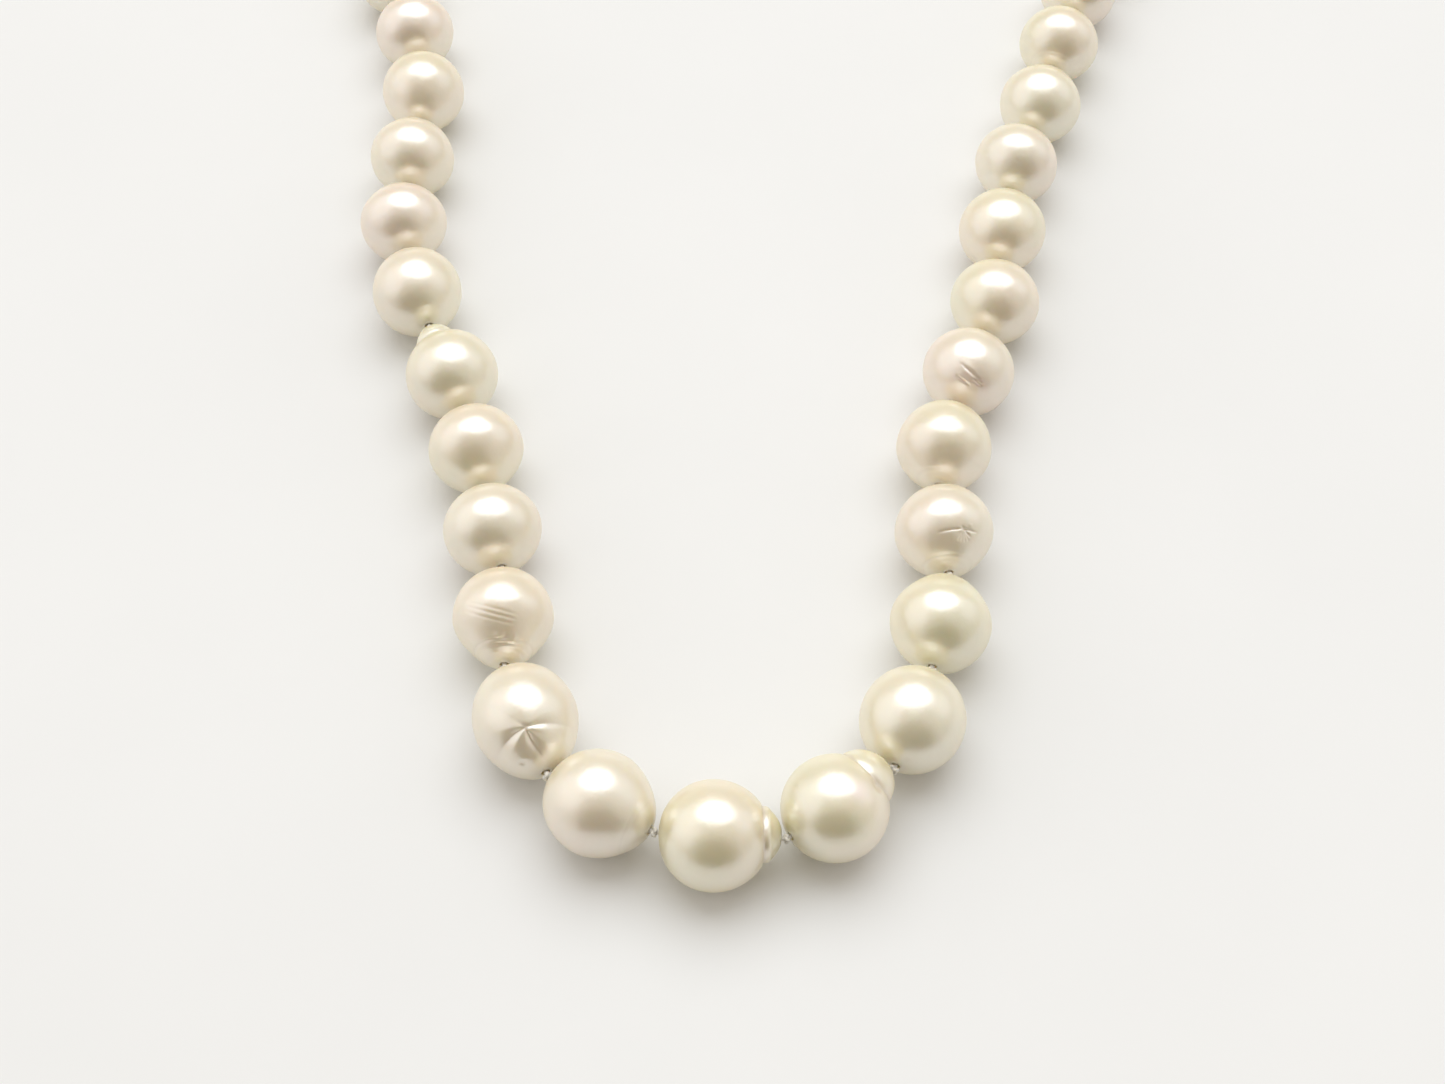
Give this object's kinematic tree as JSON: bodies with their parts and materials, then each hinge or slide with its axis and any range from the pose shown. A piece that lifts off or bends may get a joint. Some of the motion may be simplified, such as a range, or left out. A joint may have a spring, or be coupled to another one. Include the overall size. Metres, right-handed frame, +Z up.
{
  "type": "pearl necklace",
  "caption": "Knotted single-strand necklace of graduated cream baroque pearls on silk, laid open in a U, with a sprung box clasp.",
  "frame": {"origin": "point where the centre pearl touches the surface that the strand lies on", "axes": "+Z up from that surface, +Y from the centre pearl towards the two clasp ends, +X towards the right arm"},
  "size_m": [0.0855, 0.1906, 0.008],
  "materials": {
    "nacre_cream": "polished",
    "nacre_rose": "polished",
    "nacre_green": "polished",
    "silk": "matte",
    "gimp": "gloss",
    "silver": "polished"
  },
  "bodies": {
    "centre_pearl": {"pearl_centre": "nacre_green", "silk_thread": "silk"},
    "pearl_left_01": {"pearl_left_01": "nacre_rose"},
    "pearl_left_02": {"pearl_left_02": "nacre_rose"},
    "pearl_left_03": {"pearl_left_03": "nacre_green"},
    "pearl_left_04": {"pearl_left_04": "nacre_rose"},
    "pearl_left_05": {"pearl_left_05": "nacre_green"},
    "pearl_left_06": {"pearl_left_06": "nacre_cream"},
    "pearl_left_07": {"pearl_left_07": "nacre_cream"},
    "pearl_left_08": {"pearl_left_08": "nacre_rose"},
    "pearl_left_09": {"pearl_left_09": "nacre_cream"},
    "pearl_left_10": {"pearl_left_10": "nacre_green"},
    "pearl_left_11": {"pearl_left_11": "nacre_rose"},
    "pearl_left_12": {"pearl_left_12": "nacre_cream"},
    "pearl_left_13": {"pearl_left_13": "nacre_green"},
    "pearl_left_14": {"pearl_left_14": "nacre_rose"},
    "pearl_left_15": {"pearl_left_15": "nacre_cream"},
    "pearl_left_16": {"pearl_left_16": "nacre_green"},
    "pearl_left_17": {"pearl_left_17": "nacre_rose"},
    "pearl_left_18": {"pearl_left_18": "nacre_cream"},
    "pearl_left_19": {"pearl_left_19": "nacre_green"},
    "pearl_left_20": {"pearl_left_20": "nacre_rose"},
    "pearl_left_21": {"pearl_left_21": "nacre_cream"},
    "pearl_left_22": {"pearl_left_22": "nacre_green"},
    "pearl_left_23": {"pearl_left_23": "nacre_rose"},
    "pearl_left_24": {"pearl_left_24": "nacre_cream"},
    "pearl_right_01": {"pearl_right_01": "nacre_green"},
    "pearl_right_02": {"pearl_right_02": "nacre_cream"},
    "pearl_right_03": {"pearl_right_03": "nacre_green"},
    "pearl_right_04": {"pearl_right_04": "nacre_rose"},
    "pearl_right_05": {"pearl_right_05": "nacre_green"},
    "pearl_right_06": {"pearl_right_06": "nacre_rose"},
    "pearl_right_07": {"pearl_right_07": "nacre_green"},
    "pearl_right_08": {"pearl_right_08": "nacre_green"},
    "pearl_right_09": {"pearl_right_09": "nacre_rose"},
    "pearl_right_10": {"pearl_right_10": "nacre_cream"},
    "pearl_right_11": {"pearl_right_11": "nacre_green"},
    "pearl_right_12": {"pearl_right_12": "nacre_rose"},
    "pearl_right_13": {"pearl_right_13": "nacre_cream"},
    "pearl_right_14": {"pearl_right_14": "nacre_green"},
    "pearl_right_15": {"pearl_right_15": "nacre_rose"},
    "pearl_right_16": {"pearl_right_16": "nacre_cream"},
    "pearl_right_17": {"pearl_right_17": "nacre_green"},
    "pearl_right_18": {"pearl_right_18": "nacre_rose"},
    "pearl_right_19": {"pearl_right_19": "nacre_cream"},
    "pearl_right_20": {"pearl_right_20": "nacre_green"},
    "pearl_right_21": {"pearl_right_21": "nacre_rose"},
    "pearl_right_22": {"pearl_right_22": "nacre_cream"},
    "pearl_right_23": {"pearl_right_23": "nacre_green"},
    "pearl_right_24": {"pearl_right_24": "nacre_rose"},
    "loop_left": {"gimp_loop_left": "gimp"},
    "loop_right": {"gimp_loop_right": "gimp"},
    "clasp_box_half": {"clasp_box": "silver", "clasp_lid": "silver"},
    "clasp_tongue_half": {"clasp_tongue": "silver"},
    "spring_leaf": {"tongue_spring_leaf": "silver"}
  },
  "joints": [
    {"name": "tongue_leaf_press", "type": "hinge", "parent": "clasp_tongue_half", "child": "spring_leaf", "pos_m": [0.03547, 0.18291, 0.0024], "axis": [0.9744, 0.225, 0], "range_deg": [0, 8.5], "stiffness_Nm_per_rad": 0.05},
    {"name": "clasp_box_swivel", "type": "hinge", "parent": "loop_left", "child": "clasp_box_half", "pos_m": [-0.0302, 0.17406, 0.0025], "axis": [0, 0, 1], "range_deg": [-50, 50]},
    {"name": "clasp_tongue_swivel", "type": "hinge", "parent": "loop_right", "child": "clasp_tongue_half", "pos_m": [0.03791, 0.17234, 0.0025], "axis": [0, 0, 1], "range_deg": [-50, 50]},
    {"name": "loop_left_swing", "type": "hinge", "parent": "pearl_left_24", "child": "loop_left", "pos_m": [-0.03064, 0.1718, 0.0027], "axis": [0, 0, 1], "range_deg": [-30, 30]},
    {"name": "loop_right_swing", "type": "hinge", "parent": "pearl_right_24", "child": "loop_right", "pos_m": [0.03843, 0.1701, 0.0027], "axis": [0, 0, 1], "range_deg": [-30, 30]},
    {"name": "knot_right_06_lift", "type": "hinge", "parent": "pearl_right_05", "child": "pearl_right_06", "pos_m": [0.01883, 0.03778, 0.00375], "axis": [0.9511, -0.309, 0], "range_deg": [0, 30], "deforming": ["silk_thread"]},
    {"name": "knot_left_06_lift", "type": "hinge", "parent": "pearl_left_05", "child": "pearl_left_06", "pos_m": [-0.01978, 0.03733, 0.00375], "axis": [0.9511, 0.309, 0], "range_deg": [0, 30]},
    {"name": "knot_right_12_lift", "type": "hinge", "parent": "pearl_right_11", "child": "pearl_right_12", "pos_m": [0.03176, 0.08124, 0.00347], "axis": [0.9455, -0.3256, 0], "range_deg": [0, 30]},
    {"name": "knot_left_12_lift", "type": "hinge", "parent": "pearl_left_11", "child": "pearl_left_12", "pos_m": [-0.02814, 0.08277, 0.00347], "axis": [0.9511, 0.309, 0], "range_deg": [0, 30]},
    {"name": "knot_right_18_lift", "type": "hinge", "parent": "pearl_right_17", "child": "pearl_right_18", "pos_m": [0.04209, 0.1235, 0.0032], "axis": [0.9936, -0.1132, 0], "range_deg": [0, 30]},
    {"name": "knot_left_18_lift", "type": "hinge", "parent": "pearl_left_17", "child": "pearl_left_18", "pos_m": [-0.03671, 0.12533, 0.0032], "axis": [1, 0, 0], "range_deg": [0, 30]},
    {"name": "knot_right_01_swing", "type": "hinge", "parent": "centre_pearl", "child": "pearl_right_01", "pos_m": [0.00519, -0.00027, 0.00398], "axis": [0, 0, 1], "range_deg": [-36, 10]},
    {"name": "knot_left_01_swing", "type": "hinge", "parent": "centre_pearl", "child": "pearl_left_01", "pos_m": [-0.00429, 0.00022, 0.00398], "axis": [0, 0, 1], "range_deg": [-13, 36]},
    {"name": "knot_right_02_swing", "type": "hinge", "parent": "pearl_right_01", "child": "pearl_right_02", "pos_m": [0.01306, 0.00524, 0.00393], "axis": [0, 0, -1], "range_deg": [-13, 36]},
    {"name": "knot_left_02_swing", "type": "hinge", "parent": "pearl_left_01", "child": "pearl_left_02", "pos_m": [-0.0121, 0.00473, 0.00393], "axis": [0, 0, -1], "range_deg": [-36, 2]},
    {"name": "knot_right_03_swing", "type": "hinge", "parent": "pearl_right_02", "child": "pearl_right_03", "pos_m": [0.01622, 0.01347, 0.00388], "axis": [0, 0, 1], "range_deg": [-36, 18]},
    {"name": "knot_left_03_swing", "type": "hinge", "parent": "pearl_left_02", "child": "pearl_left_03", "pos_m": [-0.0157, 0.01365, 0.00388], "axis": [0, 0, 1], "range_deg": [-18, 36]},
    {"name": "knot_right_04_swing", "type": "hinge", "parent": "pearl_right_03", "child": "pearl_right_04", "pos_m": [0.01798, 0.02171, 0.00384], "axis": [0, 0, -1], "range_deg": [-19, 36]},
    {"name": "knot_left_04_swing", "type": "hinge", "parent": "pearl_left_03", "child": "pearl_left_04", "pos_m": [-0.0163, 0.02225, 0.00384], "axis": [0, 0, -1], "range_deg": [-27, 19]},
    {"name": "knot_right_05_swing", "type": "hinge", "parent": "pearl_right_04", "child": "pearl_right_05", "pos_m": [0.01755, 0.02973, 0.00379], "axis": [0, 0, 1], "range_deg": [-27, 20]},
    {"name": "knot_left_05_swing", "type": "hinge", "parent": "pearl_left_04", "child": "pearl_left_05", "pos_m": [-0.01815, 0.02966, 0.00379], "axis": [0, 0, 1], "range_deg": [-20, 36]},
    {"name": "knot_right_07_swing", "type": "hinge", "parent": "pearl_right_06", "child": "pearl_right_07", "pos_m": [0.0223, 0.04459, 0.0037], "axis": [0, 0, 1], "range_deg": [-36, 24]},
    {"name": "knot_left_07_swing", "type": "hinge", "parent": "pearl_left_06", "child": "pearl_left_07", "pos_m": [-0.02346, 0.04559, 0.0037], "axis": [0, 0, 1], "range_deg": [-24, 36]},
    {"name": "knot_right_08_swing", "type": "hinge", "parent": "pearl_right_07", "child": "pearl_right_08", "pos_m": [0.02405, 0.05215, 0.00366], "axis": [0, 0, -1], "range_deg": [-26, 36]},
    {"name": "knot_left_08_swing", "type": "hinge", "parent": "pearl_left_07", "child": "pearl_left_08", "pos_m": [-0.02611, 0.05331, 0.00366], "axis": [0, 0, -1], "range_deg": [-36, 25]},
    {"name": "knot_right_09_swing", "type": "hinge", "parent": "pearl_right_08", "child": "pearl_right_09", "pos_m": [0.0246, 0.0601, 0.00361], "axis": [0, 0, 1], "range_deg": [-21, 28]},
    {"name": "knot_left_09_swing", "type": "hinge", "parent": "pearl_left_08", "child": "pearl_left_09", "pos_m": [-0.02688, 0.06063, 0.00361], "axis": [0, 0, 1], "range_deg": [-20, 36]},
    {"name": "knot_right_10_swing", "type": "hinge", "parent": "pearl_right_09", "child": "pearl_right_10", "pos_m": [0.02737, 0.06694, 0.00357], "axis": [0, 0, -1], "range_deg": [-30, 36]},
    {"name": "knot_left_10_swing", "type": "hinge", "parent": "pearl_left_09", "child": "pearl_left_10", "pos_m": [-0.0256, 0.0679, 0.00357], "axis": [0, 0, -1], "range_deg": [-25, 30]},
    {"name": "knot_right_11_swing", "type": "hinge", "parent": "pearl_right_10", "child": "pearl_right_11", "pos_m": [0.0299, 0.07429, 0.00352], "axis": [0, 0, 1], "range_deg": [-36, 33]},
    {"name": "knot_left_11_swing", "type": "hinge", "parent": "pearl_left_10", "child": "pearl_left_11", "pos_m": [-0.02616, 0.07586, 0.00352], "axis": [0, 0, 1], "range_deg": [-33, 28]},
    {"name": "knot_right_13_swing", "type": "hinge", "parent": "pearl_right_12", "child": "pearl_right_13", "pos_m": [0.03457, 0.08787, 0.00343], "axis": [0, 0, 1], "range_deg": [-36, 36]},
    {"name": "knot_left_13_swing", "type": "hinge", "parent": "pearl_left_12", "child": "pearl_left_13", "pos_m": [-0.03071, 0.08982, 0.00343], "axis": [0, 0, 1], "range_deg": [-36, 36]},
    {"name": "knot_right_14_swing", "type": "hinge", "parent": "pearl_right_13", "child": "pearl_right_14", "pos_m": [0.03689, 0.09501, 0.00338], "axis": [0, 0, -1], "range_deg": [-36, 36]},
    {"name": "knot_left_14_swing", "type": "hinge", "parent": "pearl_left_13", "child": "pearl_left_14", "pos_m": [-0.03255, 0.0972, 0.00338], "axis": [0, 0, -1], "range_deg": [-36, 36]},
    {"name": "knot_right_15_swing", "type": "hinge", "parent": "pearl_right_14", "child": "pearl_right_15", "pos_m": [0.03899, 0.10233, 0.00333], "axis": [0, 0, 1], "range_deg": [-36, 36]},
    {"name": "knot_left_15_swing", "type": "hinge", "parent": "pearl_left_14", "child": "pearl_left_15", "pos_m": [-0.03391, 0.10419, 0.00333], "axis": [0, 0, 1], "range_deg": [-36, 36]},
    {"name": "knot_right_16_swing", "type": "hinge", "parent": "pearl_right_15", "child": "pearl_right_16", "pos_m": [0.04021, 0.10925, 0.00329], "axis": [0, 0, -1], "range_deg": [-36, 36]},
    {"name": "knot_left_16_swing", "type": "hinge", "parent": "pearl_left_15", "child": "pearl_left_16", "pos_m": [-0.0356, 0.11152, 0.00329], "axis": [0, 0, -1], "range_deg": [-36, 36]},
    {"name": "knot_right_17_swing", "type": "hinge", "parent": "pearl_right_16", "child": "pearl_right_17", "pos_m": [0.04096, 0.11634, 0.00324], "axis": [0, 0, 1], "range_deg": [-36, 36]},
    {"name": "knot_left_17_swing", "type": "hinge", "parent": "pearl_left_16", "child": "pearl_left_17", "pos_m": [-0.03659, 0.11859, 0.00324], "axis": [0, 0, 1], "range_deg": [-35, 36]},
    {"name": "knot_right_19_swing", "type": "hinge", "parent": "pearl_right_18", "child": "pearl_right_19", "pos_m": [0.04256, 0.13013, 0.00315], "axis": [0, 0, 1], "range_deg": [-36, 36]},
    {"name": "knot_left_19_swing", "type": "hinge", "parent": "pearl_left_18", "child": "pearl_left_19", "pos_m": [-0.03658, 0.13248, 0.00315], "axis": [0, 0, 1], "range_deg": [-36, 36]},
    {"name": "knot_right_20_swing", "type": "hinge", "parent": "pearl_right_19", "child": "pearl_right_20", "pos_m": [0.04231, 0.13709, 0.00311], "axis": [0, 0, -1], "range_deg": [-36, 36]},
    {"name": "knot_left_20_swing", "type": "hinge", "parent": "pearl_left_19", "child": "pearl_left_20", "pos_m": [-0.03598, 0.13941, 0.00311], "axis": [0, 0, -1], "range_deg": [-36, 36]},
    {"name": "knot_right_21_swing", "type": "hinge", "parent": "pearl_right_20", "child": "pearl_right_21", "pos_m": [0.04184, 0.14383, 0.00306], "axis": [0, 0, 1], "range_deg": [-36, 36]},
    {"name": "knot_left_21_swing", "type": "hinge", "parent": "pearl_left_20", "child": "pearl_left_21", "pos_m": [-0.03575, 0.14597, 0.00306], "axis": [0, 0, 1], "range_deg": [-36, 36]},
    {"name": "knot_right_22_swing", "type": "hinge", "parent": "pearl_right_21", "child": "pearl_right_22", "pos_m": [0.0416, 0.1508, 0.00301], "axis": [0, 0, -1], "range_deg": [-36, 36]},
    {"name": "knot_left_22_swing", "type": "hinge", "parent": "pearl_left_21", "child": "pearl_left_22", "pos_m": [-0.03479, 0.15278, 0.00301], "axis": [0, 0, -1], "range_deg": [-36, 36]},
    {"name": "knot_right_23_swing", "type": "hinge", "parent": "pearl_right_22", "child": "pearl_right_23", "pos_m": [0.04092, 0.15725, 0.00297], "axis": [0, 0, 1], "range_deg": [-36, 36]},
    {"name": "knot_left_23_swing", "type": "hinge", "parent": "pearl_left_22", "child": "pearl_left_23", "pos_m": [-0.03342, 0.15922, 0.00297], "axis": [0, 0, 1], "range_deg": [-36, 36]},
    {"name": "knot_right_24_swing", "type": "hinge", "parent": "pearl_right_23", "child": "pearl_right_24", "pos_m": [0.03987, 0.16386, 0.00292], "axis": [0, 0, -1], "range_deg": [-36, 36]},
    {"name": "knot_left_24_swing", "type": "hinge", "parent": "pearl_left_23", "child": "pearl_left_24", "pos_m": [-0.03188, 0.16542, 0.00292], "axis": [0, 0, -1], "range_deg": [-36, 36]}
  ]
}
